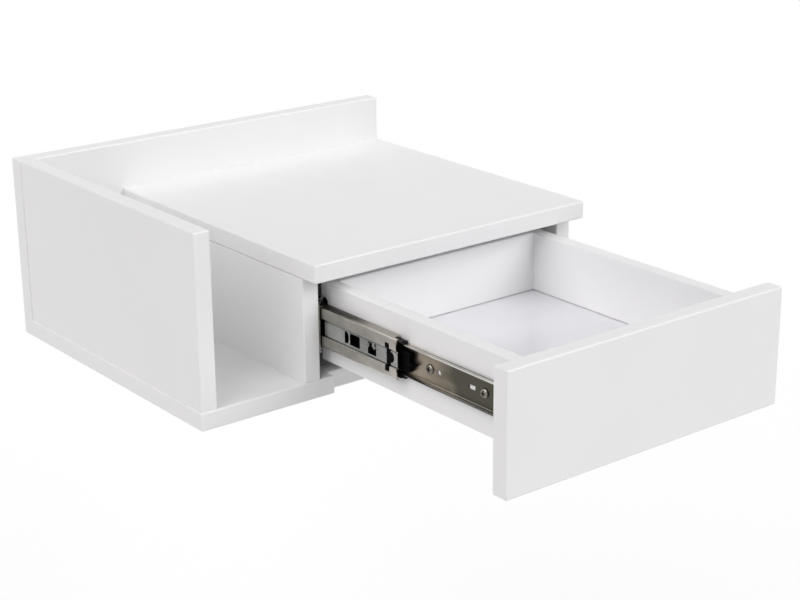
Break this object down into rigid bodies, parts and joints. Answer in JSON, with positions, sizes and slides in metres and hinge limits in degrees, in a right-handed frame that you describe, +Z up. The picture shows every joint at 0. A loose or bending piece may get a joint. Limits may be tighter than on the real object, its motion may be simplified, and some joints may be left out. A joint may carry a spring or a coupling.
{
  "type": "floating nightstand",
  "caption": "Wall-hung bedside cabinet of white boards with an open magazine slot and one handleless drawer, standing open on full extension ball bearing slides.",
  "frame": {"origin": "middle of the back panel's face that lies against the wall", "axes": "+Y into the wall, +Z up, +X to the right as seen from the front; the drawer opens along -Y"},
  "size_m": [0.4, 0.554, 0.166],
  "materials": {
    "white_lacquer": "white satin lacquer on board",
    "floor_sheet": "smooth bluish white sheet",
    "zinc_steel": "satin zinc",
    "bright_zinc": "bright zinc",
    "black_plastic": "matt black",
    "black_steel": "blackened",
    "beech": "plain beech"
  },
  "bodies": {
    "carcass": {"back_panel": "white_lacquer", "bottom_back_screw": "bright_zinc", "bottom_panel": "white_lacquer", "divider_back_screw": "bright_zinc", "divider_bottom_screw_front": "bright_zinc", "divider_bottom_screw_rear": "bright_zinc", "divider_panel": "white_lacquer", "divider_shelf_dowel_front": "beech", "divider_shelf_dowel_rear": "beech", "left_cabinet_member": "zinc_steel", "left_cabinet_screw_front": "bright_zinc", "left_cabinet_screw_rear": "bright_zinc", "left_side_back_screw_lower": "bright_zinc", "left_side_back_screw_upper": "bright_zinc", "left_side_bottom_screw_front": "bright_zinc", "left_side_bottom_screw_rear": "bright_zinc", "left_side_panel": "white_lacquer", "right_cabinet_member": "zinc_steel", "right_cabinet_screw_front": "bright_zinc", "right_cabinet_screw_rear": "bright_zinc", "right_side_back_screw": "bright_zinc", "right_side_bottom_screw_front": "bright_zinc", "right_side_bottom_screw_rear": "bright_zinc", "right_side_panel": "white_lacquer", "right_side_shelf_dowel_front": "beech", "right_side_shelf_dowel_rear": "beech", "shelf_back_screw_left": "bright_zinc", "shelf_back_screw_right": "bright_zinc", "shelf_top": "white_lacquer"},
    "drawer": {"drawer_back": "white_lacquer", "drawer_back_screw_left_lower": "black_steel", "drawer_back_screw_left_upper": "black_steel", "drawer_back_screw_right_lower": "black_steel", "drawer_back_screw_right_upper": "black_steel", "drawer_floor": "floor_sheet", "drawer_front": "white_lacquer", "drawer_front_dowel_left_lower": "beech", "drawer_front_dowel_left_upper": "beech", "drawer_front_dowel_right_lower": "beech", "drawer_front_dowel_right_upper": "beech", "drawer_left_side": "white_lacquer", "drawer_right_side": "white_lacquer", "left_drawer_member": "zinc_steel", "left_drawer_screw_front": "bright_zinc", "left_drawer_screw_rear": "bright_zinc", "right_drawer_member": "zinc_steel", "right_drawer_screw_front": "bright_zinc", "right_drawer_screw_rear": "bright_zinc"},
    "left_inner_cage": {"left_inner_ball_cage": "black_steel"},
    "left_middle": {"left_middle_member": "zinc_steel", "left_stop_clip": "black_plastic"},
    "left_outer_cage": {"left_outer_ball_cage": "black_steel"},
    "left_lever": {"left_release_lever": "black_plastic"},
    "right_inner_cage": {"right_inner_ball_cage": "black_steel"},
    "right_middle": {"right_middle_member": "zinc_steel", "right_stop_clip": "black_plastic"},
    "right_outer_cage": {"right_outer_ball_cage": "black_steel"},
    "right_lever": {"right_release_lever": "black_plastic"}
  },
  "joints": [
    {"name": "drawer_slide", "type": "slide", "parent": "carcass", "child": "drawer", "axis": [0, -1, 0], "range_m": [-0.233, 0.017]},
    {"name": "left_middle_slide", "type": "slide", "parent": "carcass", "child": "left_middle", "axis": [0, -1, 0], "range_m": [-0.1003, 0.0074]},
    {"name": "left_outer_cage_slide", "type": "slide", "parent": "carcass", "child": "left_outer_cage", "axis": [0, -1, 0], "range_m": [-0.0502, 0.0038]},
    {"name": "left_inner_cage_slide", "type": "slide", "parent": "carcass", "child": "left_inner_cage", "axis": [0, -1, 0], "range_m": [-0.1667, 0.0123]},
    {"name": "left_lever_hinge", "type": "hinge", "parent": "drawer", "child": "left_lever", "pos_m": [-0.07305, -0.3681, -0.0215], "axis": [1, 0, 0], "range_deg": [0, 3.5], "stiffness_Nm_per_rad": 0.5},
    {"name": "right_middle_slide", "type": "slide", "parent": "carcass", "child": "right_middle", "axis": [0, -1, 0], "range_m": [-0.1003, 0.0074]},
    {"name": "right_outer_cage_slide", "type": "slide", "parent": "carcass", "child": "right_outer_cage", "axis": [0, -1, 0], "range_m": [-0.0502, 0.0038]},
    {"name": "right_inner_cage_slide", "type": "slide", "parent": "carcass", "child": "right_inner_cage", "axis": [0, -1, 0], "range_m": [-0.1667, 0.0123]},
    {"name": "right_lever_hinge", "type": "hinge", "parent": "drawer", "child": "right_lever", "pos_m": [0.17505, -0.3681, -0.0215], "axis": [-1, 0, 0], "range_deg": [0, 3.5], "stiffness_Nm_per_rad": 0.5}
  ],
  "couplings": [
    {"joint": "left_middle_slide", "follows": "drawer_slide", "ratio": 0.43},
    {"joint": "left_outer_cage_slide", "follows": "drawer_slide", "ratio": 0.215},
    {"joint": "left_inner_cage_slide", "follows": "drawer_slide", "ratio": 0.715},
    {"joint": "right_middle_slide", "follows": "drawer_slide", "ratio": 0.43},
    {"joint": "right_outer_cage_slide", "follows": "drawer_slide", "ratio": 0.215},
    {"joint": "right_inner_cage_slide", "follows": "drawer_slide", "ratio": 0.715}
  ]
}
